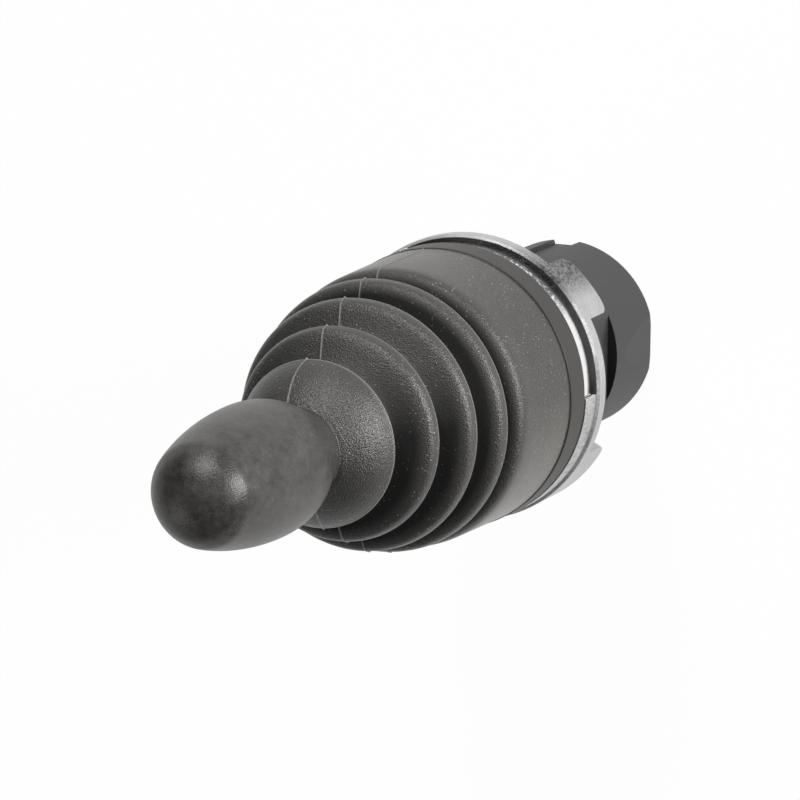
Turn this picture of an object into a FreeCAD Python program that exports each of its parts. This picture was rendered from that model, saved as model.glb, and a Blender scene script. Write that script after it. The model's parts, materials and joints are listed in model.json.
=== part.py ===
import FreeCAD, Part
import math
import os
from FreeCAD import Vector

# Two-axis joystick operator for a 22 mm panel hole. Millimetres.
# Origin: on the barrel's axis in the plane where the clamp ring sits on the panel.
# +Z runs out of the panel to the knob, +Y is the side of the locating groove, +X the side of the flat.

os.makedirs("parts", exist_ok=True)

UP = Vector(0, 0, 1)
ALONG_X = Vector(1, 0, 0)
ALONG_Y = Vector(0, 1, 0)

# Clearances
snug = 0.02            # between pieces that are pressed or clamped together, on the radius
slip = 0.05            # between pieces that run in each other, on the radius
loose = 0.1            # between pieces that only go past each other
tap_gap = 0.4          # from a plunger's tip to the actuator disc at rest
swing_gap = 0.3        # between pieces that swing past each other
bore_gap = 0.42        # from the swinging disc to the barrel's bore

# Lever's travel
tilt_limit = 12.0      # degrees each way, about each axis

# Barrel behind the panel
barrel_radius = 11.0
barrel_length = 22.4
barrel_edge = 0.35
flat_depth = 0.5       # at the rear end of the sloping flat on the +X side
flat_length = 9.0
pocket_depth = 1.13    # of the pocket between the panel and that flat
pocket_wall = 0.97     # left between the pocket and the bore
pocket_length = 10.9
groove_width = 3.2
groove_depth = 0.65
guide_depth = 8.0      # from the panel back to the ledge that the plunger guide sits on
ledge_width = 1.0
neck_wall = 1.3        # where the barrel goes through the clamp ring

# Stack in front of the panel
gasket_thickness = 1.5
gasket_room = 1.0      # from the barrel out to the gasket's bore
gasket_setback = 0.2
flange_thickness = 3.2
rim_overhang = 5.1     # from the barrel out to the clamp ring's rim
web_thickness = 2.0
rim_edge = 0.3
tab_thickness = 1.7
tab_width = 7.7
tab_angle = 42.0       # from the X axis to the middle of a tab
tab_round = 1.1
guard_angle = 61.5     # of each plain stretch of wall that hides the plated sleeve
guard_start = -63.0
guard_thickness = 0.35
sleeve_length = 2.9
sleeve_wall = 1.0
sleeve_hollow = 0.4
collar_length = 4.0
collar_wall = 1.37
collar_edge = 0.3
collar_lip = 0.55
collar_lip_depth = 1.3

# Boot
skirt_overhang = 4.6   # from the barrel out to the boot's skirt
skirt_length = 9.3
skirt_taper = 0.25
boot_wall = 1.1
boot_room = 0.2        # from the skirt in to the carrier
boot_foot_gap = 0.2
first_crest_inset = 0.7        # from the skirt's radius in to each crest
second_crest_inset = 1.91
third_crest_inset = 4.03
fourth_crest_inset = 6.58
first_crest_step = 5.95        # from the skirt's shoulder up, crest by crest
second_crest_step = 5.3
third_crest_step = 5.0
fourth_crest_step = 5.5
first_valley_inset = 2.7       # from the skirt's radius in to each valley
second_valley_inset = 3.9
third_valley_inset = 5.9
fourth_valley_inset = 8.3
valley_drop = 1.75     # from a crest back to the valley behind it
fold_bulge = 0.55
boot_neck_length = 3.9

# Boot carrier
carrier_base = 1.5
carrier_wall = 1.1
carrier_height = 13.8

# Pivots
pivot_rise = 4.3       # from the clamp ring's front up to the pivot
ring_outer = 7.6
ring_half = 2.0
pin_radius = 0.9
bush_wall = 0.6
boss_wall = 1.05
hub_radius = 4.4
hub_half = 2.4
hub_neck = 2.9
hub_floor = 0.5        # left between a pin's hole and the shaft
frame_base = 1.5
boss_setback = 0.6     # from the carrier's wall in to the frame's bosses
gate_thickness = 1.2
gate_margin = 0.08

# Lever
shaft_radius = 2.5
stub_radius = 2.0      # of the shaft's thinner ends
tail_length = 0.7
disc_thickness = 1.4
clip_thickness = 0.6
clip_width = 1.1
clip_groove = 0.4
neck_rise = 1.2        # from the topmost crest up to the neck sleeve
neck_sleeve_length = 6.6
neck_sleeve_wall = 1.58
neck_flange = 0.7
neck_flange_thickness = 1.2
nut_across = 7.0
nut_height = 2.2

# Return spring round the lever
spring_wire = 0.5
spring_turns = 6
spring_length = 9.9
cup_overhang = 0.6
cup_thickness = 1.2
cup_boss = 0.9

# Knob
knob_overlap = 0.3     # that the knob's base hangs over the neck sleeve
knob_base_radius = 5.6
knob_widest_radius = 7.25
knob_widest_at = 7.1   # from the knob's base
knob_shoulder_radius = 5.45
knob_shoulder_at = 19.6
knob_corner = 1.5
knob_dome_slope = 48.0 # degrees, where the domed face meets the rounded corner
recess_room = 0.6
insert_wall = 1.18
insert_length = 11.0
insert_groove = 0.35
thread_inset = 0.9

# Plungers
rod_radius = 1.2
rod_room = 0.5         # from a rod out to the barrel's narrow bore
rod_end = 1.5          # from the barrel's rear rim in to a rod's end
head_step = 0.7
head_thickness = 1.2
guide_thickness = 2.0
cover_thickness = 2.5
cover_inset = 1.5
coil_wire = 0.2
coil_turns = 7
retainer_thickness = 0.6
retainer_bite = 0.65
retainer_width = 1.95
retainer_gap = 5.0

# Screws
screw_radius = 0.8
screw_head = 1.5
screw_head_height = 1.2
screw_slot = 0.4
screw_land = 0.45      # left beside the clamp ring's screw holes
stack_screw_grip = 2.4
gate_screw_grip = 3.9

# Folds of the boot, from the skirt to the knob
crest_insets = (first_crest_inset, second_crest_inset, third_crest_inset, fourth_crest_inset)
crest_steps = (first_crest_step, second_crest_step, third_crest_step, fourth_crest_step)
valley_insets = (first_valley_inset, second_valley_inset, third_valley_inset, fourth_valley_inset)

# Radii worked out from the sizes above
lean = math.radians(tilt_limit)
both_lean = math.acos(math.cos(lean) ** 2)
flat_distance = barrel_radius - flat_depth
pocket_distance = barrel_radius - pocket_depth
barrel_bore = pocket_distance - pocket_wall
rod_bore = barrel_bore - ledge_width
neck_radius = barrel_bore + neck_wall
web_hole = neck_radius + loose
rim_radius = barrel_radius + rim_overhang
tab_inner = rim_radius - tab_thickness
flange_radius = tab_inner - loose
skirt_radius = barrel_radius + skirt_overhang
carrier_radius = skirt_radius - boot_wall - boot_room
carrier_inner = carrier_radius - carrier_wall
stack_inner = carrier_radius + snug
sleeve_radius = stack_inner + sleeve_wall
guard_radius = sleeve_radius + loose + guard_thickness
collar_radius = stack_inner + collar_wall
boot_foot = collar_radius - collar_lip
stack_screw_circle = web_hole + screw_land + screw_radius + loose
frame_outer = stack_screw_circle - screw_head - loose
boss_reach = carrier_inner - boss_setback
gate_screw_circle = (barrel_bore + boss_reach) / 2
ring_inner = math.hypot(hub_radius, hub_half) + swing_gap
neck_sleeve_radius = stub_radius + snug + neck_sleeve_wall
nut_corner = nut_across / math.sqrt(3)
insert_radius = stub_radius + snug + insert_wall
head_radius = rod_radius + head_step
plunger_circle = rod_bore - rod_room - rod_radius

# Heights worked out from the sizes above
flange_level = gasket_thickness + flange_thickness
web_level = flange_level + web_thickness
sleeve_level = web_level + sleeve_length
collar_level = sleeve_level + collar_length
foot_level = collar_level - collar_lip_depth
skirt_level = collar_level + boot_foot_gap
shoulder_level = skirt_level + skirt_length
crest_levels = [shoulder_level + sum(crest_steps[:index + 1]) for index in range(len(crest_steps))]
carrier_level = web_level + carrier_base
frame_level = carrier_level + frame_base
pivot_level = web_level + pivot_rise
gate_level = pivot_level + ring_outer * math.sin(lean) + ring_half * math.cos(lean) + swing_gap
gate_top = gate_level + gate_thickness
disc_drop = (ring_half + swing_gap + ring_outer * math.sin(lean)) / math.cos(lean)
disc_top = pivot_level - disc_drop
disc_bottom = disc_top - disc_thickness
tip_level = disc_bottom - tap_gap
head_top = tip_level - rod_radius
head_bottom = head_top - head_thickness
guide_top = guide_thickness - guide_depth
rod_bottom = rod_end - barrel_length
cover_level = cover_inset - barrel_length
ledge_level = cover_level + cover_thickness
cup_level = gate_top + spring_length
cup_top = cup_level + cup_thickness
neck_level = crest_levels[-1] + neck_rise
neck_flange_level = neck_level + neck_flange_thickness
boot_top = neck_flange_level + snug + boot_neck_length
neck_top = neck_level + neck_sleeve_length
nut_top = neck_top + nut_height
knob_base = neck_top - knob_overlap
insert_top = nut_top + loose + insert_length
shaft_top = insert_top - thread_inset

# Sizes that follow from the lever's swing
disc_reach = barrel_bore - bore_gap - (disc_drop + disc_thickness) * math.sin(both_lean)
disc_radius = disc_reach / math.cos(both_lean)
lean_ratio = math.tan(lean) / math.cos(lean)
gate_half = (gate_top - pivot_level) * lean_ratio + shaft_radius * math.hypot(1, lean_ratio) + gate_margin
spring_radius = gate_half * math.sqrt(2) + spring_wire + loose


def tube(outer, inner, low, high):
    """A round wall between two heights."""
    wall = Part.makeCylinder(outer, high - low, Vector(0, 0, low))
    return wall.cut(Part.makeCylinder(inner, high - low, Vector(0, 0, low)))


def rod(radius, low, high, x=0.0, y=0.0):
    """A round rod along Z."""
    return Part.makeCylinder(radius, high - low, Vector(x, y, low))


def block(x_low, x_high, y_low, y_high, z_low, z_high):
    """A box between two corners."""
    return Part.makeBox(x_high - x_low, y_high - y_low, z_high - z_low, Vector(x_low, y_low, z_low))


def cross_pin(radius, direction, near, far):
    """A round pin at the pivot's height, from near the axis to far from it along a direction."""
    return Part.makeCylinder(radius, far - near, direction * near + UP * pivot_level, direction)


def on_circle(radius, angle):
    """The x and y of a point on a circle round the axis."""
    return radius * math.cos(math.radians(angle)), radius * math.sin(math.radians(angle))


class Outline:
    """A closed outline of straight runs and arcs, in the plane of radius and height."""

    def __init__(self, radius, height):
        self.first = Vector(radius, 0, height)
        self.here = self.first
        self.edges = []

    def line(self, radius, height):
        there = Vector(radius, 0, height)
        self.edges.append(Part.LineSegment(self.here, there).toShape())
        self.here = there
        return self

    def arc(self, middle_radius, middle_height, radius, height):
        there = Vector(radius, 0, height)
        middle = Vector(middle_radius, 0, middle_height)
        self.edges.append(Part.Arc(self.here, middle, there).toShape())
        self.here = there
        return self

    def bulge(self, radius, height, rise):
        """An arc whose middle stands out from the straight run by rise, away from the axis."""
        run_r = radius - self.here.x
        run_z = height - self.here.z
        run = math.hypot(run_r, run_z)
        side = 1.0 if run_z > 0 else -1.0
        middle_r = self.here.x + run_r / 2 + side * rise * run_z / run
        middle_z = self.here.z + run_z / 2 - side * rise * run_r / run
        return self.arc(middle_r, middle_z, radius, height)

    def flare(self, radius, height):
        """An arc that stands upright at its wider end and leans in towards the other."""
        there = Vector(radius, 0, height)
        wide, narrow = (self.here, there) if self.here.x > radius else (there, self.here)
        lean_r = wide.x - narrow.x
        lean_z = narrow.z - wide.z
        sweep = (lean_r ** 2 + lean_z ** 2) / (2 * lean_r)
        half = math.asin(lean_z / sweep) / 2
        return self.arc(wide.x - sweep * (1 - math.cos(half)), wide.z + sweep * math.sin(half),
                        radius, height)

    def turned(self):
        """The solid that the outline makes when it turns round the Z axis."""
        self.line(self.first.x, self.first.z)
        face = Part.Face(Part.Wire(self.edges))
        return face.revolve(Vector(0, 0, 0), UP, 360)


def coil(mean_radius, wire, low, high, turns, x=0.0, y=0.0):
    """A helical spring of round wire that stands between two heights."""
    start = low + wire + snug
    rise = high - low - 2 * (wire + snug)
    path = Part.Wire(Part.makeHelix(rise / turns, rise, mean_radius))
    heading = Vector(0, 2 * math.pi * mean_radius, rise / turns)
    section = Part.Wire(Part.makeCircle(wire, Vector(mean_radius, 0, 0), heading))
    spring = path.makePipeShell([section], True, True)
    spring.translate(Vector(x, y, start))
    return spring


def split_ring(outer, inner, low, high, gap, direction):
    """A flat spring-steel ring with a gap on one side."""
    ring = tube(outer, inner, low, high)
    opening = block(0, outer + gap, -gap / 2, gap / 2, low, high)
    opening.rotate(Vector(0, 0, 0), UP, direction)
    return ring.cut(opening)


def screw(circle, angle, seat, grip_end):
    """A slotted pan-head screw, driven in from the knob side."""
    x, y = on_circle(circle, angle)
    top = seat + screw_head_height
    head = rod(screw_head, seat, top, x, y)
    upper_edge = [edge for edge in head.Edges if edge.BoundBox.ZMin > top - screw_slot]
    head = head.makeFillet(screw_slot, upper_edge)
    shank = rod(screw_radius, grip_end, seat, x, y)
    slot = block(x - screw_head, x + screw_head, y - screw_slot / 2, y + screw_slot / 2,
                 top - screw_slot, top)
    return head.fuse(shank).cut(slot)


def screw_holes(circle, angles, radius, low, high):
    """Round holes for screws, as one tool to cut with."""
    return Part.makeCompound([rod(radius, low, high, *on_circle(circle, angle)) for angle in angles])


stack_angles = (45, 135, 225, 315)
gate_angles = (90, 270)
plunger_places = {
    "e": (plunger_circle, 0.0),
    "n": (0.0, plunger_circle),
    "w": (-plunger_circle, 0.0),
    "s": (0.0, -plunger_circle),
}


def make_housing():
    """Moulded barrel with the flange that the ring clamps, its bores, flat, pocket and groove."""
    rear = -barrel_length
    body = (Outline(barrel_bore, rear)
            .line(barrel_radius - barrel_edge, rear)
            .line(barrel_radius, rear + barrel_edge)
            .line(barrel_radius, gasket_thickness)
            .line(flange_radius, gasket_thickness)
            .line(flange_radius, flange_level)
            .line(neck_radius, flange_level)
            .line(neck_radius, web_level)
            .line(barrel_bore, web_level)
            .line(barrel_bore, -guide_depth)
            .line(rod_bore, -guide_depth)
            .line(rod_bore, ledge_level)
            .line(barrel_bore, ledge_level)
            .turned())
    # The sloping flat runs out where its plane leaves the barrel, half way along this wedge.
    wedge = [Vector(flat_distance, -rim_radius, rear),
             Vector(barrel_radius + flat_depth, -rim_radius, rear + 2 * flat_length),
             Vector(rim_radius, -rim_radius, rear + 2 * flat_length),
             Vector(rim_radius, -rim_radius, rear)]
    flat = Part.Face(Part.makePolygon(wedge + wedge[:1])).extrude(ALONG_Y * 2 * rim_radius)
    pocket = block(pocket_distance, rim_radius, -rim_radius, rim_radius, -pocket_length, 0)
    groove = block(-groove_width / 2, groove_width / 2, barrel_radius - groove_depth, rim_radius, rear, 0)
    retainer_seat = tube(barrel_bore + retainer_bite, rod_bore, cover_level - retainer_thickness, cover_level)
    tapped = screw_holes(stack_screw_circle, stack_angles, screw_radius + snug,
                         flange_level - stack_screw_grip - loose, flange_level)
    return body.cut([flat, pocket, groove, retainer_seat, tapped])


def make_gasket():
    """Flat sealing ring between the flange and the panel."""
    return tube(flange_radius - gasket_setback, barrel_radius + gasket_room, 0, gasket_thickness)


def make_ring_tab(angle):
    """One castellation of the clamp ring, with rounded corners where it meets the panel."""
    deep = flange_level + web_thickness / 2
    side = tab_width / 2
    tab = block(tab_inner, rim_radius + tab_thickness, -side, side, 0, deep)
    corners = [edge for edge in tab.Edges
               if edge.BoundBox.ZMax < deep / 2 and edge.BoundBox.YLength < side]
    tab = tab.makeFillet(tab_round, corners)
    tab.rotate(Vector(0, 0, 0), UP, angle)
    return tab.common(tube(rim_radius, tab_inner, 0, deep))


def make_ring():
    """Die-cast clamp ring: web, rim, four tabs behind it and two plain guards before it."""
    rim = (Outline(web_hole, flange_level)
           .line(rim_radius - rim_edge, flange_level)
           .line(rim_radius, flange_level + rim_edge)
           .line(rim_radius - rim_edge / 2, web_level - rim_edge)
           .line(rim_radius - 1.5 * rim_edge, web_level)
           .line(web_hole, web_level)
           .turned())
    tabs = [make_ring_tab(side * tab_angle + half) for side in (-1, 1) for half in (0, 180)]
    guards = []
    for half in (0, 180):
        guard = Part.makeCylinder(guard_radius, sleeve_length - loose, Vector(0, 0, web_level), UP,
                                  guard_angle)
        guard = guard.cut(rod(sleeve_radius + loose, web_level, sleeve_level))
        guard.rotate(Vector(0, 0, 0), UP, guard_start + half)
        guards.append(guard)
    ring = rim.fuse(tabs + guards).removeSplitter()
    return ring.cut(screw_holes(stack_screw_circle, stack_angles, screw_radius + loose,
                                flange_level, web_level))


def make_sleeve():
    """Plated sleeve with a shallow hollow round it, between the ring and the collar."""
    middle = (web_level + sleeve_level) / 2
    return (Outline(stack_inner, web_level)
            .line(sleeve_radius, web_level)
            .arc(sleeve_radius - sleeve_hollow, middle, sleeve_radius, sleeve_level)
            .line(stack_inner, sleeve_level)
            .turned())


def make_collar():
    """Dark band that the boot's foot tucks into."""
    return (Outline(stack_inner, sleeve_level)
            .line(collar_radius - collar_edge, sleeve_level)
            .line(collar_radius, sleeve_level + collar_edge)
            .line(collar_radius, collar_level)
            .line(boot_foot, collar_level)
            .line(boot_foot, foot_level)
            .line(stack_inner, foot_level)
            .turned())


def make_carrier():
    """Cup that is screwed on the ring and holds the boot's skirt from inside."""
    top = web_level + carrier_height
    cup = (Outline(barrel_bore, web_level)
           .line(carrier_radius, web_level)
           .line(carrier_radius, top - carrier_wall / 2)
           .line(carrier_radius - carrier_wall / 2, top)
           .line(carrier_inner, top)
           .line(carrier_inner, carrier_level)
           .line(barrel_bore, carrier_level)
           .turned())
    return cup.cut(screw_holes(stack_screw_circle, stack_angles, screw_radius + loose,
                               web_level, carrier_level))


def make_boot():
    """Rubber bellows of four folds on a plain skirt, closed round the lever's neck."""
    neck_inner = neck_sleeve_radius + snug
    neck_outer = neck_inner + boot_wall
    neck_low = boot_top - boot_neck_length / 2
    shoulder_radius = skirt_radius - skirt_taper
    crests = [skirt_radius - inset for inset in crest_insets]
    valleys = [skirt_radius - inset for inset in valley_insets]
    valley_levels = [level - valley_drop for level in crest_levels]

    line = (Outline(stack_inner, foot_level)
            .line(boot_foot - snug, foot_level)
            .line(boot_foot - snug, skirt_level)
            .line(skirt_radius, skirt_level)
            .line(shoulder_radius, shoulder_level)
            .bulge(valleys[0], valley_levels[0], 2 * fold_bulge))
    for fold in range(len(crests)):
        line.line(crests[fold], crest_levels[fold])
        if fold + 1 < len(crests):
            line.bulge(valleys[fold + 1], valley_levels[fold + 1], fold_bulge)
    line.bulge(neck_outer, neck_low, fold_bulge)
    line.line(neck_outer, boot_top)
    line.line(neck_inner, boot_top)
    line.line(neck_inner, neck_low - boot_wall / 2)

    for fold in reversed(range(len(crests))):
        line.bulge(crests[fold] - boot_wall, crest_levels[fold], fold_bulge)
        line.line(valleys[fold] - boot_wall, valley_levels[fold])
    line.bulge(shoulder_radius - boot_wall, shoulder_level, 2 * fold_bulge)
    line.line(skirt_radius - boot_wall, skirt_level)
    line.line(stack_inner, skirt_level)
    return line.turned()


def make_frame():
    """Bearing frame round the gimbal, with bosses for the pins and for the gate's screws."""
    foot = tube(carrier_inner - loose, barrel_bore, carrier_level, frame_level)
    wall = tube(frame_outer, barrel_bore, carrier_level, gate_level)
    long_side = pin_radius + slip + bush_wall + boss_wall
    short_side = screw_radius + snug + boss_wall
    long_boss = block(-boss_reach, boss_reach, -long_side, long_side, frame_level, gate_level)
    short_boss = block(-short_side, short_side, -boss_reach, boss_reach, frame_level, gate_level)
    bosses = long_boss.fuse(short_boss).cut(rod(barrel_bore, frame_level, gate_level))
    frame = foot.fuse([wall, bosses]).removeSplitter()
    bush_hole = pin_radius + slip + bush_wall + snug
    bush_holes = [cross_pin(bush_hole, ALONG_X * side, ring_outer, rim_radius) for side in (-1, 1)]
    stack_holes = screw_holes(stack_screw_circle, stack_angles, screw_radius + loose,
                              carrier_level, frame_level)
    gate_holes = screw_holes(gate_screw_circle, gate_angles, screw_radius + snug,
                             gate_level - gate_screw_grip - loose, gate_level)
    return frame.cut(bush_holes + [stack_holes, gate_holes])


def make_bushes():
    """The two bearing bushes in the frame's long bosses."""
    bushes = []
    for side in (-1, 1):
        bush = cross_pin(pin_radius + slip + bush_wall, ALONG_X * side, barrel_bore, boss_reach)
        hole = cross_pin(pin_radius + slip, ALONG_X * side, ring_outer, rim_radius)
        bushes.append(bush.cut(hole))
    return Part.makeCompound(bushes)


def make_gate():
    """Plate with the square opening that stops the lever at its limits."""
    plate = rod(carrier_inner - loose, gate_level, gate_top)
    opening = block(-gate_half, gate_half, -gate_half, gate_half, gate_level, gate_top)
    uprights = [edge for edge in opening.Edges if edge.BoundBox.ZLength > gate_thickness / 2]
    opening = opening.makeFillet(shaft_radius / 4, uprights)
    return plate.cut([opening, screw_holes(gate_screw_circle, gate_angles, screw_radius + loose,
                                           gate_level, gate_top)])


def make_plunger_plate(low, high):
    """Round plate in the barrel's bore with a running hole for each plunger's rod."""
    plate = rod(barrel_bore - snug, low, high)
    return plate.cut([rod(rod_radius + slip, low, high, x, y) for x, y in plunger_places.values()])


def make_gimbal():
    """Ring between the two pairs of pins."""
    ring = tube(ring_outer, ring_inner, pivot_level - ring_half, pivot_level + ring_half)
    holes = [cross_pin(pin_radius + snug, along * side, hub_radius, barrel_bore)
             for along in (ALONG_X, ALONG_Y) for side in (-1, 1)]
    return ring.cut(holes)


def make_outer_pins():
    """Pins along X, pressed in the ring, that turn in the frame's bushes."""
    return Part.makeCompound([cross_pin(pin_radius, ALONG_X * side, ring_inner + loose, boss_reach - loose)
                              for side in (-1, 1)])


def make_inner_pins():
    """Pins along Y, pressed in the ring, that the lever's hub turns on."""
    near = stub_radius + snug + hub_floor + loose
    return Part.makeCompound([cross_pin(pin_radius, ALONG_Y * side, near, ring_outer - loose)
                              for side in (-1, 1)])


def make_hub():
    """Hub that the lever stands in, with its neck down to the actuator disc."""
    low = pivot_level - hub_half
    high = pivot_level + hub_half
    body = rod(hub_radius, low, high).fuse(rod(hub_neck, disc_top, low))
    floor = stub_radius + snug + hub_floor
    holes = [cross_pin(pin_radius + slip, ALONG_Y * side, floor, ring_inner) for side in (-1, 1)]
    return body.cut(holes + [rod(stub_radius + snug, disc_top, high)])


def make_shaft():
    """Steel lever: tail through hub and disc, long shank, and the thread that carries the knob."""
    clip_low = disc_bottom - clip_thickness
    shoulder = pivot_level + hub_half
    return (Outline(0, clip_low - tail_length)
            .line(stub_radius, clip_low - tail_length)
            .line(stub_radius, clip_low)
            .line(stub_radius - clip_groove, clip_low)
            .line(stub_radius - clip_groove, disc_bottom)
            .line(stub_radius, disc_bottom)
            .line(stub_radius, shoulder)
            .line(shaft_radius, shoulder)
            .line(shaft_radius, cup_top)
            .line(shaft_radius - clip_groove, cup_top)
            .line(shaft_radius - clip_groove, cup_top + clip_thickness)
            .line(shaft_radius, cup_top + clip_thickness)
            .line(shaft_radius, neck_level)
            .line(stub_radius, neck_level)
            .line(stub_radius, shaft_top)
            .line(0, shaft_top)
            .turned())


def make_clip(shaft, low):
    """Clip in a groove of the shaft."""
    inner = shaft - clip_groove + snug
    return split_ring(inner + clip_width, inner, low, low + clip_thickness, inner, 45)


def make_cup():
    """Spring cup on the lever's shank, held up against its clip by the spring."""
    inner = shaft_radius + snug
    plate = tube(spring_radius + spring_wire + cup_overhang, inner, cup_level, cup_top)
    boss = tube(spring_radius - spring_wire - 2 * loose, inner, cup_level - cup_boss, cup_level)
    return plate.fuse(boss).removeSplitter()


def make_neck_sleeve():
    """Plastic sleeve under the knob that the boot's neck grips."""
    inner = stub_radius + snug
    body = tube(neck_sleeve_radius, inner, neck_level, neck_top)
    flange = tube(neck_sleeve_radius + neck_flange, inner, neck_level, neck_flange_level)
    return body.fuse(flange).removeSplitter()


def make_lock_nut():
    """Thin hexagon nut that locks the sleeve and the knob."""
    points = [Vector(*on_circle(nut_corner, 60 * side), neck_top) for side in range(7)]
    body = Part.Face(Part.makePolygon(points)).extrude(UP * nut_height)
    return body.cut(rod(stub_radius + snug, neck_top, nut_top))


def make_insert():
    """Brass insert in the knob, with two grooves that key it in the plastic."""
    low = nut_top + loose
    step = insert_length / 5
    line = Outline(stub_radius + snug, low).line(insert_radius, low)
    for turn in (1, 3):
        line.line(insert_radius, low + turn * step)
        line.line(insert_radius - insert_groove, low + turn * step)
        line.line(insert_radius - insert_groove, low + (turn + 1) * step)
        line.line(insert_radius, low + (turn + 1) * step)
    return line.line(insert_radius, insert_top).line(stub_radius + snug, insert_top).turned()


def make_knob():
    """Rounded knob, hollow at its base for the lock nut and bored for the insert."""
    recess = nut_corner + 2 * loose
    recess_top = nut_top + recess_room
    widest = knob_base + knob_widest_at
    shoulder = knob_base + knob_shoulder_at
    bore = insert_radius + snug

    side_lean = 2 * math.atan2(knob_widest_radius - knob_shoulder_radius, shoulder - widest)
    slope = math.radians(90 - knob_dome_slope)
    middle = (side_lean + slope) / 2
    centre_r = knob_shoulder_radius - knob_corner * math.cos(side_lean)
    centre_z = shoulder - knob_corner * math.sin(side_lean)
    face_r = centre_r + knob_corner * math.cos(slope)
    face_z = centre_z + knob_corner * math.sin(slope)
    dome = face_r / math.cos(slope)
    dome_z = face_z - dome * math.sin(slope)
    half_way = (slope + math.pi / 2) / 2
    return (Outline(recess, knob_base)
            .line(knob_base_radius, knob_base)
            .flare(knob_widest_radius, widest)
            .flare(knob_shoulder_radius, shoulder)
            .arc(centre_r + knob_corner * math.cos(middle), centre_z + knob_corner * math.sin(middle),
                 face_r, face_z)
            .arc(dome * math.cos(half_way), dome_z + dome * math.sin(half_way), 0, dome_z + dome)
            .line(0, insert_top + snug)
            .line(bore, insert_top + snug)
            .line(bore, recess_top)
            .line(recess, recess_top)
            .turned())


def make_plunger(x, y):
    """Plunger: round tip under the disc, head that its spring lifts, rod out through the cover."""
    tip_curve = rod_radius * math.sqrt(0.5)
    shape = (Outline(0, rod_bottom)
             .line(rod_radius, rod_bottom)
             .line(rod_radius, head_bottom)
             .line(head_radius, head_bottom)
             .line(head_radius, head_top)
             .line(rod_radius, head_top)
             .arc(tip_curve, head_top + tip_curve, 0, tip_level)
             .turned())
    shape.translate(Vector(x, y, 0))
    return shape


pieces = {
    "housing_barrel": make_housing(),
    "panel_gasket": make_gasket(),
    "clamp_ring": make_ring(),
    "plated_sleeve": make_sleeve(),
    "front_collar": make_collar(),
    "boot_carrier": make_carrier(),
    "rubber_boot": make_boot(),
    "pivot_frame": make_frame(),
    "pivot_bushes": make_bushes(),
    "gate_plate": make_gate(),
    "frame_screws": Part.makeCompound([screw(stack_screw_circle, angle, frame_level,
                                             flange_level - stack_screw_grip) for angle in stack_angles]),
    "gate_screws": Part.makeCompound([screw(gate_screw_circle, angle, gate_top,
                                            gate_level - gate_screw_grip) for angle in gate_angles]),
    "plunger_guide": make_plunger_plate(-guide_depth, guide_top),
    "rear_cover": make_plunger_plate(cover_level, ledge_level),
    "rear_retaining_ring": split_ring(barrel_bore + retainer_bite - snug,
                                      barrel_bore + retainer_bite - retainer_width,
                                      cover_level - retainer_thickness, cover_level, retainer_gap, 270),
    "return_spring": coil(spring_radius, spring_wire, gate_top, cup_level, spring_turns),
    "gimbal_ring": make_gimbal(),
    "outer_pivot_pins": make_outer_pins(),
    "inner_pivot_pins": make_inner_pins(),
    "lever_hub": make_hub(),
    "lever_shaft": make_shaft(),
    "actuator_disc": tube(disc_radius, stub_radius + snug, disc_bottom, disc_top),
    "disc_clip": make_clip(stub_radius, disc_bottom - clip_thickness),
    "spring_cup": make_cup(),
    "cup_clip": make_clip(shaft_radius, cup_top),
    "neck_sleeve": make_neck_sleeve(),
    "lock_nut": make_lock_nut(),
    "knob_insert": make_insert(),
    "knob": make_knob(),
}

for place, (x, y) in plunger_places.items():
    pieces["plunger_" + place] = make_plunger(x, y)
    pieces["plunger_spring_" + place] = coil((rod_radius + head_radius) / 2, coil_wire, guide_top,
                                             head_bottom, coil_turns, x, y)

for name, shape in pieces.items():
    shape.exportStep("parts/" + name + ".step")
    print(name, len(shape.Solids), round(shape.Volume, 2), shape.isValid())
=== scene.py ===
# %% [markdown]
# # Dressing a panel joystick
# The solids of the joystick come from its imported model: every rigid piece is already there, in
# metres, at its true place. This lesson gives it its looks. The pieces that the eye meets first,
# the rubber boot, the knob and the metal ring, are made again as fine surfaces that are worked
# out with numpy, because the thin lips and the worn edges of the real ones need more points
# than the solids have. The first step loads the model.

# %% Load the solids
import json
import math

import bmesh
import bpy
import numpy as np
from mathutils import Matrix, Vector


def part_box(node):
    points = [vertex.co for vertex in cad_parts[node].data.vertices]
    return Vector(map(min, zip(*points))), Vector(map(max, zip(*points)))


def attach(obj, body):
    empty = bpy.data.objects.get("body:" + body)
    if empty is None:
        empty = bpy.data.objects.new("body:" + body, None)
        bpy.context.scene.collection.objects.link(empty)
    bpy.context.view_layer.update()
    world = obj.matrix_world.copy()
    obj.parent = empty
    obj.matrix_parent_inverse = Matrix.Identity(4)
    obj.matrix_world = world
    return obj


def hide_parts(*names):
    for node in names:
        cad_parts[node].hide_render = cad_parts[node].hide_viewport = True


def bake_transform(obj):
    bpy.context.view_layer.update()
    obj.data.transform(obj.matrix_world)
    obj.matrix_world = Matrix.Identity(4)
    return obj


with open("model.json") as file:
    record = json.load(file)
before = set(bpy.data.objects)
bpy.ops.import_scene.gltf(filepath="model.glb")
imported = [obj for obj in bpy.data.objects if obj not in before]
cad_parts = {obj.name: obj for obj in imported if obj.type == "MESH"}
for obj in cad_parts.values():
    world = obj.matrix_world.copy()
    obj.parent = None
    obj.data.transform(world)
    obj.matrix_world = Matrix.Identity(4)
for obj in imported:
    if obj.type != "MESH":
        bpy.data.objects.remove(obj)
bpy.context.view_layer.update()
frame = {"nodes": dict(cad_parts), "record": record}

MM = 0.001
MM_PER_METRE = 1000

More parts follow.
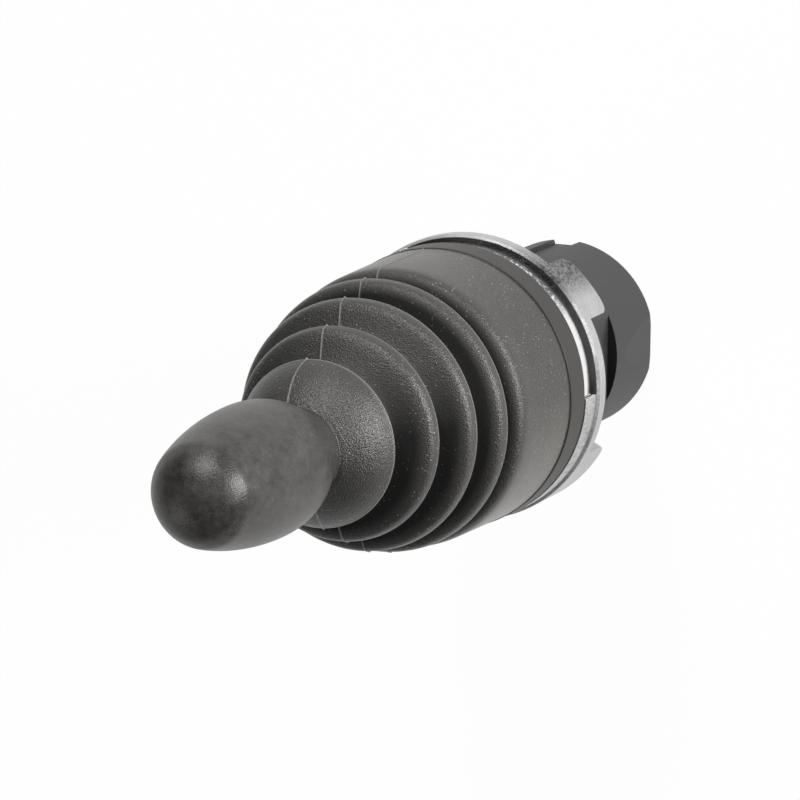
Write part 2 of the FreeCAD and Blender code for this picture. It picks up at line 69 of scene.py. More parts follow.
# %% [markdown]
# ## The camera
# The photograph looks down on the knob from in front, with a long lens: the far end of the
# joystick is hardly smaller than the near end. The place and the three directions of the camera
# were worked out from the round edges of the ring, the folds and the knob. A camera in Blender
# looks along its own minus Z, so the matrix is built from its right, its up and its back direction.

# %% Camera
CAMERA_RIGHT = np.array([0.909217, 0.008842, -0.416231])
CAMERA_UP = np.array([-0.093893, 0.978373, -0.184314])
CAMERA_BACK = np.array([0.405600, 0.206663, 0.890382])
CAMERA_PLACE = np.array([218.55, 112.10, 503.79]) * MM
LENS_MM, SENSOR_MM = 225, 36
FARTHEST = 10

camera_data = bpy.data.cameras.new("photo_camera")
camera_data.lens = LENS_MM
camera_data.sensor_width = SENSOR_MM
camera_data.clip_end = FARTHEST
camera = bpy.data.objects.new("photo_camera", camera_data)
bpy.context.collection.objects.link(camera)
turn = np.eye(4)
turn[:3] = np.column_stack([CAMERA_RIGHT, CAMERA_UP, CAMERA_BACK, CAMERA_PLACE])
camera.matrix_world = Matrix(turn.tolist())
bpy.context.scene.camera = camera
print("camera at", np.round(CAMERA_PLACE, 3), "lens", camera_data.lens)

# %% [markdown]
# ## Outlines
# Nearly every piece here is turned: an outline of radius and height goes round the axis. Real
# outlines have no sharp corners, and a corner without a radius catches no light. There are two
# ways to get the radius. Machined and cast pieces have an arc of a known radius at each corner, so
# the first helper puts one there. Rubber and worn plastic have no such arc, so the second helper
# wears the whole line soft with a running mean, as sanding would.

# %% Outlines with arcs at their corners
TINY = 1e-9


def unit(steps):
    """Steps made one long. Formula: each is divided by its own length."""
    return steps / np.maximum(np.linalg.norm(steps, axis=-1, keepdims=True), TINY)


def rounded(corners, radii, arc=6, run=(0.06, 0.5, 0.94)):
    """Closed outlines whose corners are arcs.

    Formula: at each corner the line turns by an angle. It leaves the straight run a distance of
    radius times tan(angle / 2) before the corner, follows an arc of that radius, and joins the
    next run the same distance behind the corner. Each run gets points at the given shares of its
    length. Corners may have further axes in front, such as one outline for each angle round the
    axis.
    """
    here = np.asarray(corners, float)
    radii = np.broadcast_to(np.asarray(radii, float), here.shape[:-1])
    into = unit(here - np.roll(here, 1, -2))
    away = np.roll(into, -1, -2)
    cross = into[..., 0] * away[..., 1] - into[..., 1] * away[..., 0]
    angle = np.arctan2(cross, (into * away).sum(-1))
    reach = radii * np.tan(np.abs(angle) / 2)
    start = here - into * reach[..., None]
    aside = np.stack([-into[..., 1], into[..., 0]], -1) * np.sign(angle)[..., None]
    centre = start + aside * radii[..., None]
    first = np.arctan2(start[..., 1] - centre[..., 1], start[..., 0] - centre[..., 0])
    along = first[..., None] + angle[..., None] * np.linspace(0, 1, arc)
    spokes = np.stack([np.cos(along), np.sin(along)], -1)
    arcs = centre[..., None, :] + radii[..., None, None] * spokes
    leave = arcs[..., -1, :]
    arrive = np.roll(arcs[..., 0, :], -1, -2)
    share = np.asarray(run)[:, None]
    runs = leave[..., None, :] + (arrive - leave)[..., None, :] * share
    both = np.concatenate([arcs, runs], -2)
    return both.reshape(*both.shape[:-3], -1, 2)


SQUARE = [(1, 0), (2, 0), (2, 1), (1, 1)]
print("a square with arcs has", len(rounded(SQUARE, 0.2)), "points")

# %% Outlines that are worn soft
BELL_END = 3


def read_off(path, measure, places):
    """Points of a path. Formula: a measure grows along the path, and each coordinate is read off
    where the measure reaches the places."""
    return np.column_stack([np.interp(places, measure, axis) for axis in path.T])


def evenly(path, step):
    """The same path with a point at every step. Formula: the measure is the distance along the
    path, which is the running sum of the lengths of its pieces."""
    lengths = np.r_[0, np.cumsum(np.hypot(*np.diff(path, axis=0).T))]
    places = np.linspace(0, lengths[-1], int(math.ceil(lengths[-1] / step)) + 1)
    return read_off(path, lengths, places)


def softened(path, blur, step=0.04):
    """The path with its corners worn round. Formula: a running mean whose weights are a bell
    curve as wide as blur. Beyond its ends the path is mirrored through its end point, so the ends
    stay."""
    path = evenly(path, step)
    reach = int(BELL_END * blur / step)
    weights = np.exp(-0.5 * (np.arange(-reach, reach + 1) * step / blur) ** 2)
    weights /= weights.sum()
    before = 2 * path[0] - path[reach:0:-1]
    behind = 2 * path[-1] - path[-2:-reach - 2:-1]
    longer = np.vstack([before, path, behind])
    return np.column_stack([np.convolve(axis, weights, "valid") for axis in longer.T])


def thinned(path, longest, bend):
    """Fewer points, close together only where the path bends. Formula: the measure is a running
    sum of the length over the longest step and of the turning over the bend in degrees, and a
    point stands at about each whole number of it."""
    steps = np.diff(path, axis=0)
    heading = np.unwrap(np.arctan2(steps[:, 1], steps[:, 0]))
    turning = np.abs(np.diff(heading, prepend=heading[0]))
    cost = np.r_[0, np.cumsum(np.hypot(*steps.T) / longest + turning / math.radians(bend))]
    return read_off(path, cost, np.linspace(0, cost[-1], int(cost[-1]) + 2))


def bow(start, end, belly, lean, count=24):
    """A bowed run between two points. Formula: a quadratic Bezier curve, whose middle handle
    stands off the straight run by twice the belly, at the share lean of its length. Its last point
    is left out."""
    start, end = np.array(start, float), np.array(end, float)
    run = end - start
    aside = np.array([run[1], -run[0]]) / np.hypot(*run)
    handle = start + run * lean + aside * 2 * belly
    share = np.linspace(0, 1, count, endpoint=False)[:, None]
    return (1 - share) ** 2 * start + 2 * share * (1 - share) * handle + share ** 2 * end


CORNER = np.array([(0, 0), (5, 0), (5, 5)])
print("a corner worn soft has", len(thinned(softened(CORNER, 0.3), 1, 8)), "points")

# %% [markdown]
# ## From an outline to a mesh
# A surface is a table of points: one row for each step along the outline, one column for each
# angle round the axis. Faces join neighbours in the table, so they need no search. Where a whole
# row lies on the axis its points are one pole, and where a tab or guard has no height its points
# fall together, so equal points are merged afterwards. The sign of the volume tells whether the
# faces look outwards.

# %% Surfaces from tables of points
FULL_TURN = 2 * math.pi
EVEN = np.linspace(0, FULL_TURN, 256, endpoint=False)
SAME_POINT = 1e-7


def surface(name, points, open_outline=False, marks=None):
    """A mesh from a table of points of shape (steps, angles, 3), in millimetres.

    Formula: face (i, j) joins the points (i, j), (i, j+1), (i+1, j+1) and (i+1, j), where j wraps
    round, and i too unless the outline is open. Marks are tables of values, which become named
    attributes.
    """
    steps, angles = points.shape[:2]
    number = np.arange(steps * angles).reshape(steps, angles)
    rows = number if open_outline else np.vstack([number, number[:1]])
    near, far = rows[:-1], rows[1:]
    faces = np.stack([near, np.roll(near, -1, 1), np.roll(far, -1, 1), far], -1).reshape(-1, 4)
    mesh = bpy.data.meshes.new(name)
    mesh.from_pydata(points.reshape(-1, 3) * MM, [], faces)
    for mark, values in (marks or {}).items():
        attribute = mesh.attributes.new(mark, "FLOAT", "POINT")
        attribute.data.foreach_set("value", values.astype(np.float32).ravel())
    shape = bmesh.new()
    shape.from_mesh(mesh)
    bmesh.ops.remove_doubles(shape, verts=shape.verts, dist=SAME_POINT)
    bmesh.ops.dissolve_degenerate(shape, edges=shape.edges, dist=SAME_POINT)
    loose = [edge for edge in shape.edges if not edge.link_faces]
    bmesh.ops.delete(shape, geom=loose, context="EDGES")
    if shape.calc_volume(signed=True) < 0:
        bmesh.ops.reverse_faces(shape, faces=shape.faces)
    holes = sum(not edge.is_manifold for edge in shape.edges)
    shape.to_mesh(mesh)
    shape.free()
    mesh.polygons.foreach_set("use_smooth", np.ones(len(mesh.polygons), bool))
    made = bpy.data.objects.new(name, mesh)
    bpy.context.collection.objects.link(made)
    print(name, "faces:", len(mesh.polygons), "open edges:", holes)
    return made


def round_the_axis(radius, height, angle):
    """Points of a turned surface. Formula: x is radius times cos(angle), y is radius times
    sin(angle), z is the height."""
    radius, height, angle = np.broadcast_arrays(radius, height, angle)
    return np.stack([radius * np.cos(angle), radius * np.sin(angle), height], -1)


def turned(name, outline, open_outline=False):
    """An outline that goes round the axis unchanged."""
    points = round_the_axis(outline[:, :1], outline[:, 1:], EVEN[None, :])
    return surface(name, points, open_outline)


print("a turned piece has", len(EVEN), "points round the axis")

# %% [markdown]
# ## Finishes as sums
# A finish is a net of small nodes, and a net is hard to read. So one small class wraps a socket
# and overloads the signs of arithmetic: the expression 1 - mask * 0.3 then adds the nodes by
# itself, and a finish reads like the formula that it is. Colours go through a mix, because a node
# of plain arithmetic would turn them grey.

# %% Shader sums: values
NOISE_RANGE = (0.3, 0.7)


class Signal:
    """A value that varies over a surface, written in sums as if it were a number."""

    def __init__(self, finish, socket):
        self.finish = finish
        self.socket = socket

    def math(self, operation, *values, clamp=False):
        """One node of arithmetic."""
        settings = {"operation": operation, "use_clamp": clamp}
        return self.finish.node("ShaderNodeMath", settings, dict(enumerate(values)))

    def __add__(self, other):
        return self.math("ADD", self, other)

    __radd__ = __add__

    def __sub__(self, other):
        return self.math("SUBTRACT", self, other)

    def __rsub__(self, other):
        return self.math("SUBTRACT", other, self)

    def __mul__(self, other):
        return self.math("MULTIPLY", self, other)

    __rmul__ = __mul__

    def __pow__(self, other):
        return self.math("POWER", self, other)

    def clamped(self):
        """The same value, kept between 0 and 1."""
        return self.math("ADD", self, 0.0, clamp=True)

    def above(self, low, high):
        """0 below low, 1 above high and a straight ramp between."""
        return self.math("DIVIDE", self - low, high - low, clamp=True)

    def stretched(self):
        """Noise seldom leaves the middle of its range, so that middle is spread over 0 to 1."""
        return self.above(*NOISE_RANGE)


# %% Shader sums: finishes
class Finish:
    """A material whose nodes are written as Python expressions."""

    def __init__(self, name, **constants):
        self.material = bpy.data.materials.new(name)
        self.material.use_nodes = True
        self.name, self.tree = name, self.material.node_tree
        self.shader = self.tree.nodes["Principled BSDF"]
        for socket, value in constants.items():
            self.shader.inputs[socket.replace("_", " ")].default_value = value

    def node(self, kind, settings=None, sockets=None, output=0):
        """Any node: its settings first, then the values or the links of its sockets."""
        made = self.tree.nodes.new(kind)
        for key, value in (settings or {}).items():
            setattr(made, key, value)
        for key, value in (sockets or {}).items():
            if isinstance(value, Signal):
                self.tree.links.new(value.socket, made.inputs[key])
            else:
                made.inputs[key].default_value = value
        return Signal(self, made.outputs[output])

    def place(self):
        """Where the point is on the object, in metres."""
        return self.node("ShaderNodeTexCoord", output="Object")

    def axis(self, letter):
        """One coordinate of the point, in millimetres."""
        place = self.node("ShaderNodeSeparateXYZ", sockets={"Vector": self.place()}, output=letter)
        return place * MM_PER_METRE

    def noise(self, size_mm, detail=3.0, roughness=0.55, stretch=None):
        """Cloudy noise between 0 and 1 whose blobs are about size_mm across. Where it is
        stretched by less than 1 along an axis, they are longer there."""
        where = self.place()
        if stretch:
            where = self.node("ShaderNodeMapping", sockets={"Vector": where, "Scale": stretch})
        return self.node("ShaderNodeTexNoise", sockets={
            "Vector": where, "Scale": MM_PER_METRE / size_mm, "Detail": detail,
            "Roughness": roughness})

    def cells(self, size_mm):
        """Distance to the nearest of scattered points that are about size_mm apart."""
        sockets = {"Vector": self.place(), "Scale": MM_PER_METRE / size_mm}
        return self.node("ShaderNodeTexVoronoi", {"feature": "F1"}, sockets)

    def mark(self, name):
        """A value that the mesh carries at its points."""
        return self.node("ShaderNodeAttribute", {"attribute_name": name}, output="Fac")

    def mix(self, share, low, high):
        """A colour between two, by a share."""
        sockets = {0: share, 6: low, 7: high}
        return self.node("ShaderNodeMix", {"data_type": "RGBA"}, sockets, output=2)

    def painted(self, colour, *coats):
        """A colour with coats laid over it in turn, each given as its share and its colour."""
        for share, coat in coats:
            colour = self.mix(share, colour, coat)
        return colour

    def bump(self, height, depth_mm, strength=1.0):
        """A normal that leans as if the height stood out by the depth."""
        return self.node("ShaderNodeBump", sockets={
            "Height": height, "Distance": depth_mm * MM, "Strength": strength})

    def rays(self):
        """Three values that are 1 for a ray from the camera, off a mirror or through glass."""
        return [self.node("ShaderNodeLightPath", output=kind)
                for kind in ("Is Camera Ray", "Is Glossy Ray", "Is Transmission Ray")]

    def feed(self, **signals):
        """Links each signal to the socket of its name."""
        for socket, signal in signals.items():
            self.tree.links.new(signal.socket, self.shader.inputs[socket.replace("_", " ")])
        print(self.name, "nodes:", len(self.tree.nodes))


def grey(value, warm=0.0):
    """A near-grey colour. Formula: warm raises red and lowers blue by that share."""
    return (value * (1 + warm), value, value * (1 - warm), 1.0)


def wear(piece, finish):
    """Gives a piece its one finish."""
    piece.data.materials.clear()
    piece.data.materials.append(finish.material)


print("shader sums ready")

# %% [markdown]
# ## The boot's outline
# The boot is a bellows of four folds on a plain skirt. Each fold has a thin lip at its crest,
# rises a little, rolls over and runs inwards as a nearly flat front; behind the lip the rubber is
# undercut to a deep groove. The roll catches a narrow band of light, while the flat front and the
# groove stay dark. The outline is drawn once, from the skirt's foot to the neck under the knob.
# Its corners are worn soft by different amounts: least at the lips, most where the skirt rolls
# over.

# %% Boot outline
WALL = 1.1
SKIRT_FOOT = (15.6, 13.8)
SHOULDER = (15.3, 25.85)
CRESTS = [(14.9, 29.05), (13.69, 34.35), (11.57, 39.35), (9.02, 44.85)]
ROLLS = [(14.81, 30.25), (13.58, 35.5), (11.45, 40.5)]
GROOVES = [(12.9, 26.9), (11.7, 31.6), (9.7, 37.1), (7.3, 42.3)]
NECK = (4.72, 49.22)
NECK_BELLY, NECK_LEAN = 0.55, 0.4
BOOT_TOP = 51.17
LIP_BLUR, FOLD_BLUR, SHOULDER_BLUR = 0.11, 0.58, 0.7
LIP_REACH, SHOULDER_REACH = 0.45, 2.0

line = [np.array([SKIRT_FOOT, SHOULDER])]
for groove, crest, roll in zip(GROOVES, CRESTS, ROLLS):
    line.append(np.array([groove, crest, roll]))
line.append(np.array([GROOVES[3]]))
line.append(bow(CRESTS[3], NECK, NECK_BELLY, NECK_LEAN))
line.append(np.array([NECK, (NECK[0], BOOT_TOP)]))
sharp_line, round_line, wide_line = [softened(np.vstack(line), blur)
                                     for blur in (LIP_BLUR, FOLD_BLUR, SHOULDER_BLUR)]


def off(path, places):
    """How far each point of a path is from the nearest of some places."""
    gap = path[:, None] - np.atleast_2d(places)
    return np.hypot(gap[..., 0], gap[..., 1]).min(1)


def bell(distance, reach):
    """1 at no distance, about a third at the reach and nearly 0 at twice the reach. Formula: e to
    the power of minus the square of the distance over the reach."""
    return np.exp(-(distance / reach) ** 2)


at_lip = bell(off(sharp_line, np.vstack([CRESTS, NECK])), LIP_REACH)[:, None]
at_shoulder = bell(off(sharp_line, SHOULDER), SHOULDER_REACH)[:, None]
boot_line = sharp_line * at_lip + round_line * (1 - at_lip)
boot_line = wide_line * at_shoulder + boot_line * (1 - at_shoulder)
print("boot outline:", len(boot_line), "points, widest", boot_line[:, 0].max().round(2), "mm")

# %% [markdown]
# ## The boot's mould lines
# The mould of the real boot was in two halves. Where they met, a thin raised line runs over every
# fold, at the top and at the bottom, with a small nub of rubber on each lip. It could be painted
# on, but it stands out in the outline as well, so it is part of the shape: near those two angles
# the columns of points lie close together and are lifted off the surface by a narrow bell curve.
# On the last fold the line leans, so there all columns turn a little round the axis. The finish
# has to know where the line and the lips are, and where the insides of the folds get their painted
# shade, so the points carry marks.

# %% Mould lines
LINE_ANGLES = np.radians([97.5, 275.5])
LINE_WIDTH, LINE_RISE = 0.09, 0.07
LINE_LEAN = math.radians(9)
NUB_WIDTH, NUB_LENGTH, NUB_RISE = 1.6 * LINE_WIDTH, 0.22, 0.09
LIP_MARK = 0.14
# Painted shade of the folds' insides: where it starts behind the roll line, its ramp, and how far
# it keeps off the lips.
SHADE_START, SHADE_RAMP, SHADE_OFF_LIP = 0.3, 1.0, 0.8
COLUMN_GAP, COLUMN_CLEAR = 0.009, 0.034
COLUMN_STEPS = np.array([0.25, 0.5, 0.8, 1.1, 1.5, 2.0, 2.6, 3.4])
OUTER_STEPS, INNER_STEPS = (0.5, 8), (1.4, 20)


def both_ways(distances):
    """The distances and their opposites."""
    return np.r_[-np.asarray(distances), distances]


columns = np.r_[0, both_ways(COLUMN_STEPS)] * COLUMN_GAP
spread = np.array([a for a in EVEN if min(abs(a - LINE_ANGLES)) > COLUMN_CLEAR])
boot_angles = np.sort(np.r_[spread, (LINE_ANGLES[:, None] + columns).ravel()])


def all_round(values):
    """A table with one row for each value, the same at every angle of the boot."""
    return np.tile(values[:, None], len(boot_angles))


def boot_part(name, low, high):
    """The boot's wall between two heights of its outline, as a closed surface.

    Formula: the outer side is the outline, lifted along its normal near the mould lines; the inner
    side is the same outline one wall thickness nearer to the axis, walked back with fewer points.
    The points carry three marks for the finish: the mould line, the lip, and a painted shade for
    the insides of the folds, which grows with how far they lie behind a line from roll to roll.
    """
    piece = boot_line[low:high]
    outer = thinned(piece, *OUTER_STEPS)
    inner = thinned(piece, *INNER_STEPS)[::-1] - np.array([WALL, 0])
    run = np.gradient(outer, axis=0)
    normal = np.column_stack([run[:, 1], -run[:, 0]]) / np.hypot(*run.T)[:, None]
    off_lip = off(outer, CRESTS)
    gap = (boot_angles[None, :, None] - LINE_ANGLES) * outer[:, 0][:, None, None]
    ridge = bell(gap, LINE_WIDTH).sum(-1)
    nub = bell(gap, NUB_WIDTH).sum(-1) * bell(off_lip, NUB_LENGTH)[:, None]
    lift = LINE_RISE * ridge + NUB_RISE * nub
    radius = np.vstack([outer[:, :1] + normal[:, :1] * lift, all_round(inner[:, 0])])
    height = np.vstack([outer[:, 1:] + normal[:, 1:] * lift, all_round(inner[:, 1])])

    last_lip = CRESTS[3][1]
    # The insides of the folds get a painted shade, by how far a point lies behind a line from roll
    # to roll.
    tops = np.array([SHOULDER, *ROLLS, CRESTS[3]])
    behind = np.interp(outer[:, 1], tops[:, 1], tops[:, 0]) - outer[:, 0]
    shade_share = np.clip((behind - SHADE_START) / SHADE_RAMP, 0, 1) * (outer[:, 1] < last_lip)
    shade_share = shade_share * (1 - bell(off_lip, SHADE_OFF_LIP))
    # The lip mark carries pale wear and a painted highlight along the lips' thin edge.
    outer_marks = {"mould_line": ridge, "lip": all_round(bell(off_lip, LIP_MARK)),
                   "fold_shade": all_round(shade_share)}
    unmarked = np.zeros((len(inner), len(boot_angles)))
    marks = {mark: np.vstack([values, unmarked]) for mark, values in outer_marks.items()}

    lean = LINE_LEAN * np.clip((height[:, :1] - last_lip) / (NECK[1] - last_lip), 0, 1)
    points = round_the_axis(radius, height, boot_angles[None, :] + lean)
    return surface(name, points, marks=marks)


print("the boot has", len(boot_angles), "points round the axis")

# %% [markdown]
# ## The boot in two halves
# The lever tilts on two hinges, one after the other: the gimbal turns in the head, and the lever
# turns in the gimbal. A flexible piece can bend across one hinge only. So the boot is cut in the
# third groove, where the seam is hidden, into a lower and an upper half.

# %% Boot in two parts
SPLIT = GROOVES[2]
cut = int(np.argmin(np.hypot(*(boot_line - SPLIT).T)))
boot_lower = boot_part("boot_lower", 0, cut + 1)
boot_upper = boot_part("boot_upper", cut, None)
seam = boot_line[cut, 1] * MM
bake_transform(boot_lower)
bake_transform(boot_upper)
for part in (boot_lower, boot_upper):
    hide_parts("rubber_boot")
print("boot split at", round(boot_line[cut, 1], 2), "mm")

# %% [markdown]
# ## The knob
# The knob is widest near its base and tapers to a flat-domed front with a soft edge. The outline
# runs from the bore for the insert, round the hollow base, up the bowed side and over the dome to
# the axis. A turned surface with points close together at the soft edge keeps its highlight clean.

# %% Knob
KNOB_LOW, KNOB_TOP = 52.35, 74.81
KNOB_BASE = (5.6, KNOB_LOW)
KNOB_WIDEST = (7.25, 59.45)
KNOB_SHOULDER = (5.45, 71.95)
DOME_RADIUS, DOME_TURN = 6.75, math.radians(43)
BORE, BORE_END = 3.22, 65.97
HOLLOW, HOLLOW_END, HOLLOW_EDGE = 4.24, 55.45, 5.55
OUTSIDE_BLUR, INSIDE_BLUR = 0.35, 0.08
OUTSIDE_STEPS, INSIDE_STEPS = (0.4, 4), (1.2, 15)


def upright_arc(wide, narrow, count=60):
    """An arc that stands upright at its wide end. Formula: its radius is (dr squared + dz squared)
    / (2 dr), its centre lies level with the wide end, and the angle runs from 0 to the narrow
    end's."""
    dr, dz = wide[0] - narrow[0], narrow[1] - wide[1]
    radius = (dr ** 2 + dz ** 2) / (2 * dr)
    along = np.linspace(0, math.asin(dz / radius), count)
    out, up = radius * (1 - np.cos(along)), radius * np.sin(along)
    return np.column_stack([wide[0] - out, wide[1] + up])


lower_side = upright_arc(KNOB_WIDEST, KNOB_BASE)[::-1]
upper_side = upright_arc(KNOB_WIDEST, KNOB_SHOULDER)[1:]
dome_turn = np.linspace(DOME_TURN, 0, 40)
dome = np.column_stack([DOME_RADIUS * np.sin(dome_turn),
                        KNOB_TOP - DOME_RADIUS * (1 - np.cos(dome_turn))])
inside = np.array([(BORE, BORE_END), (BORE, HOLLOW_END), (HOLLOW, HOLLOW_END),
                   (HOLLOW, KNOB_LOW), (HOLLOW_EDGE, KNOB_LOW)])
outside = np.vstack([lower_side, upper_side, dome])
knob_inside = thinned(softened(inside, INSIDE_BLUR), *INSIDE_STEPS)
knob_outside = thinned(softened(outside, OUTSIDE_BLUR), *OUTSIDE_STEPS)
knob_line = np.vstack([[(0.0, BORE_END)], knob_inside, knob_outside[1:]])
knob_line[-1, 0] = 0
knob = turned("knob_grip", knob_line, open_outline=True)
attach(knob, "lever")
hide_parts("knob")

# %% [markdown]
# ## The clamp ring
# The ring is a zinc casting: a flat web with a rim, four tabs that reach back to the panel, and
# two plain stretches of wall that cover the plated sleeve. It is one piece of metal, so it is made
# as one surface: at every angle it has the same number of outline points, and only the heights of
# the tab's rear end and of the guard's front end change. Near the ends of tabs and guards the
# angles lie close together, so that the walls there are steep and their corners small.

# %% Tabs and guards of the ring
RIM = 16.1
WEB_REAR, WEB_FRONT = 4.7, 6.7
TAB_MIDDLES = np.radians([42, 138, 222, 318])
TAB_HALF, TAB_CORNER = 3.85, 1.1
GUARD_SPANS = np.radians([(-63, -1.5), (117, 178.5)])
GUARD_TOP = 9.5
BESIDE_ENDS = np.array([0.02, 0.05, 0.12, 0.25, 0.5, 0.9]) / RIM
BESIDE_CORNERS = np.array([2.7, 2.9, 3.2, 3.5, 3.7, 3.8, 3.84]) / RIM

tab_ends = TAB_MIDDLES[:, None] + both_ways([TAB_HALF]) / RIM
all_ends = np.r_[tab_ends.ravel(), GUARD_SPANS.ravel()]
special = np.r_[(all_ends[:, None] + both_ways(BESIDE_ENDS)).ravel(),
                (TAB_MIDDLES[:, None] + both_ways(BESIDE_CORNERS)).ravel()]
ring_angles = np.unique(np.round(np.r_[EVEN, special % FULL_TURN], 5))


def turned_off(middles):
    """How far each of the ring's angles is from each of the middles, the short way round."""
    return np.abs((ring_angles[:, None] - middles + math.pi) % FULL_TURN - math.pi)


tab_way = turned_off(TAB_MIDDLES).min(1) * RIM
in_tab = tab_way < TAB_HALF
past_corner = np.clip(tab_way - (TAB_HALF - TAB_CORNER), 0, TAB_CORNER)
tab_end = TAB_CORNER - np.sqrt(TAB_CORNER ** 2 - past_corner ** 2)
tab_rear = np.where(in_tab, tab_end, WEB_REAR)
guard_half = np.ptp(GUARD_SPANS, axis=1) / 2
in_guard = (turned_off(GUARD_SPANS.mean(1)) - guard_half).min(1) < 0
guard_front = np.where(in_guard, GUARD_TOP, WEB_FRONT)
print("ring angles:", len(ring_angles), "in tabs:", in_tab.sum(), "in guards:", in_guard.sum())

# %% Clamp ring
WEB_INNER, WALL_INNER, GUARD_INNER, GUARD_OUTER = 10.3, 14.4, 15.42, 15.77
CHAMFER_REAR = 6.4
BORE_EDGE, RIM_EDGE, CHAMFER_EDGE, GUARD_FOOT = 0.1, 0.22, 0.3, 0.03
TAB_EDGE, GUARD_EDGE = 0.18, 0.1
tab_edge = np.where(in_tab, TAB_EDGE, 0.0)
guard_edge = np.where(in_guard, GUARD_EDGE, 0.0)
ring_corners = [
    (WEB_INNER, WEB_REAR, BORE_EDGE),
    (WALL_INNER, WEB_REAR, tab_edge / 2),
    (WALL_INNER, tab_rear, tab_edge),
    (RIM, tab_rear, RIM_EDGE),
    (RIM, CHAMFER_REAR, CHAMFER_EDGE),
    (GUARD_OUTER, WEB_FRONT, GUARD_FOOT),
    (GUARD_OUTER, guard_front, guard_edge),
    (GUARD_INNER, guard_front, guard_edge),
    (GUARD_INNER, WEB_FRONT, guard_edge / 2),
    (WEB_INNER, WEB_FRONT, BORE_EDGE),
]
one = np.ones_like(ring_angles)
corner_table = np.stack([np.stack([value * one for value in corner], -1)
                         for corner in ring_corners], 1)
ring_outline = rounded(corner_table[..., :2], corner_table[..., 2], arc=5, run=(0.08, 0.5, 0.92))
ring_table = round_the_axis(ring_outline[..., 0], ring_outline[..., 1], ring_angles[:, None])
clamp_ring = surface("clamp_ring_casting", ring_table.transpose(1, 0, 2))
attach(clamp_ring, "operator_head")
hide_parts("clamp_ring")

# %% [markdown]
# ## The plated sleeve and the dark collar
# Between the ring and the collar lies a bright plated sleeve. It is a mirror that stands upright
# on the ring's flat web, and that gives the white and the black band side by side: near the collar
# it mirrors the white paper past the ring's rim, and near the ring it mirrors the web, whose front
# is painted near black as shade. The collar is a plain dark band with a fine bevel at its rear
# edge.

# %% Sleeve and collar
SLEEVE_INNER, SLEEVE_OUTER = 14.35, 15.31
SLEEVE_REAR, SLEEVE_FRONT = 6.72, 9.59
sleeve_line = rounded([(SLEEVE_OUTER, SLEEVE_REAR), (SLEEVE_OUTER, SLEEVE_FRONT),
                       (SLEEVE_INNER, SLEEVE_FRONT), (SLEEVE_INNER, SLEEVE_REAR)],
                      [0.05, 0.16, 0.05, 0.05], run=(0.02, 0.25, 0.5, 0.75, 0.98))
sleeve = turned("plated_sleeve_bright", sleeve_line)
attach(sleeve, "operator_head")
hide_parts("plated_sleeve")

COLLAR_INNER, COLLAR_SEAT, COLLAR_OUTER = 14.33, 15.14, 15.69
COLLAR_REAR, COLLAR_STEP, COLLAR_FRONT = 9.61, 12.31, 13.59
BEVEL_RADIUS, BEVEL_FRONT = 15.39, 9.91
collar_line = rounded([(COLLAR_INNER, COLLAR_REAR), (BEVEL_RADIUS, COLLAR_REAR),
                       (COLLAR_OUTER, BEVEL_FRONT), (COLLAR_OUTER, COLLAR_FRONT),
                       (COLLAR_SEAT, COLLAR_FRONT), (COLLAR_SEAT, COLLAR_STEP),
                       (COLLAR_INNER, COLLAR_STEP)],
                      [0.03, 0.08, 0.1, 0.16, 0.05, 0.05, 0.03])
collar = turned("front_collar_band", collar_line)
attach(collar, "operator_head")
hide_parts("front_collar")

# %% [markdown]
# ## The springs
# A spring holds on to two bodies that move apart, so a rigid one would cut through what it pushes
# on. Each spring is therefore made again as a coil of its own. The return spring goes past two
# hinges, one after the other, so like the boot it comes in a lower and an upper half.

# %% Springs
SPRING_WIRE, SPRING_TURNS = 0.5, 6
SMALL_WIRE, SMALL_TURNS = 0.2, 7


def coiled(name, node, wire, turns, part=(0.0, 1.0), steps=44, sides=14):
    """A round wire that is coiled to fill a solid's box, or one part of its height.

    Formula: the wire's middle climbs evenly while its angle grows. Round it stands a ring of
    points, in the plane of the outward direction and of the cross product of the wire's direction
    with it. Each end closes in one point.
    """
    low, high = np.array(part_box(node)) / MM
    middle = (low + high) / 2
    radius = (high[0] - low[0]) / 2 - wire
    share = np.linspace(*part, int(turns * steps * (part[1] - part[0])))
    angle = FULL_TURN * turns * share
    climb = high[2] - low[2] - 2 * wire
    slope = climb / (FULL_TURN * turns)
    outward = np.stack([np.cos(angle), np.sin(angle), 0 * angle], -1)
    ahead = np.stack([-radius * np.sin(angle), radius * np.cos(angle), 0 * angle + slope], -1)
    across_wire = np.cross(ahead / np.linalg.norm(ahead, axis=1, keepdims=True), outward)
    foot_middle = [middle[0], middle[1], low[2] + wire]
    centre = radius * outward + foot_middle + np.outer(share, [0, 0, climb])
    ring = np.linspace(0, FULL_TURN, sides, endpoint=False)[None, :, None]
    spokes = np.cos(ring) * outward[:, None] + np.sin(ring) * across_wire[:, None]
    tube = centre[:, None] + wire * spokes
    ends = [np.repeat(centre[[end], None], sides, axis=1) for end in (0, -1)]
    piece = surface(name, np.vstack([ends[0], tube, ends[1]]), open_outline=True)
    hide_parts(node)
    return piece


lower_half, upper_half = (0.0, 0.5), (0.5, 1.0)
spring_low = coiled("return_spring_lower", "return_spring", SPRING_WIRE, SPRING_TURNS, lower_half)
spring_high = coiled("return_spring_upper", "return_spring", SPRING_WIRE, SPRING_TURNS, upper_half)
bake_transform(spring_low)
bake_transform(spring_high)
springs = [spring_low, spring_high]
for side in "enws":
    node = "plunger_spring_" + side
    springs.append(coiled(node + "_coil", node, SMALL_WIRE, SMALL_TURNS))
    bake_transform(springs[-1])
print("springs:", len(springs))
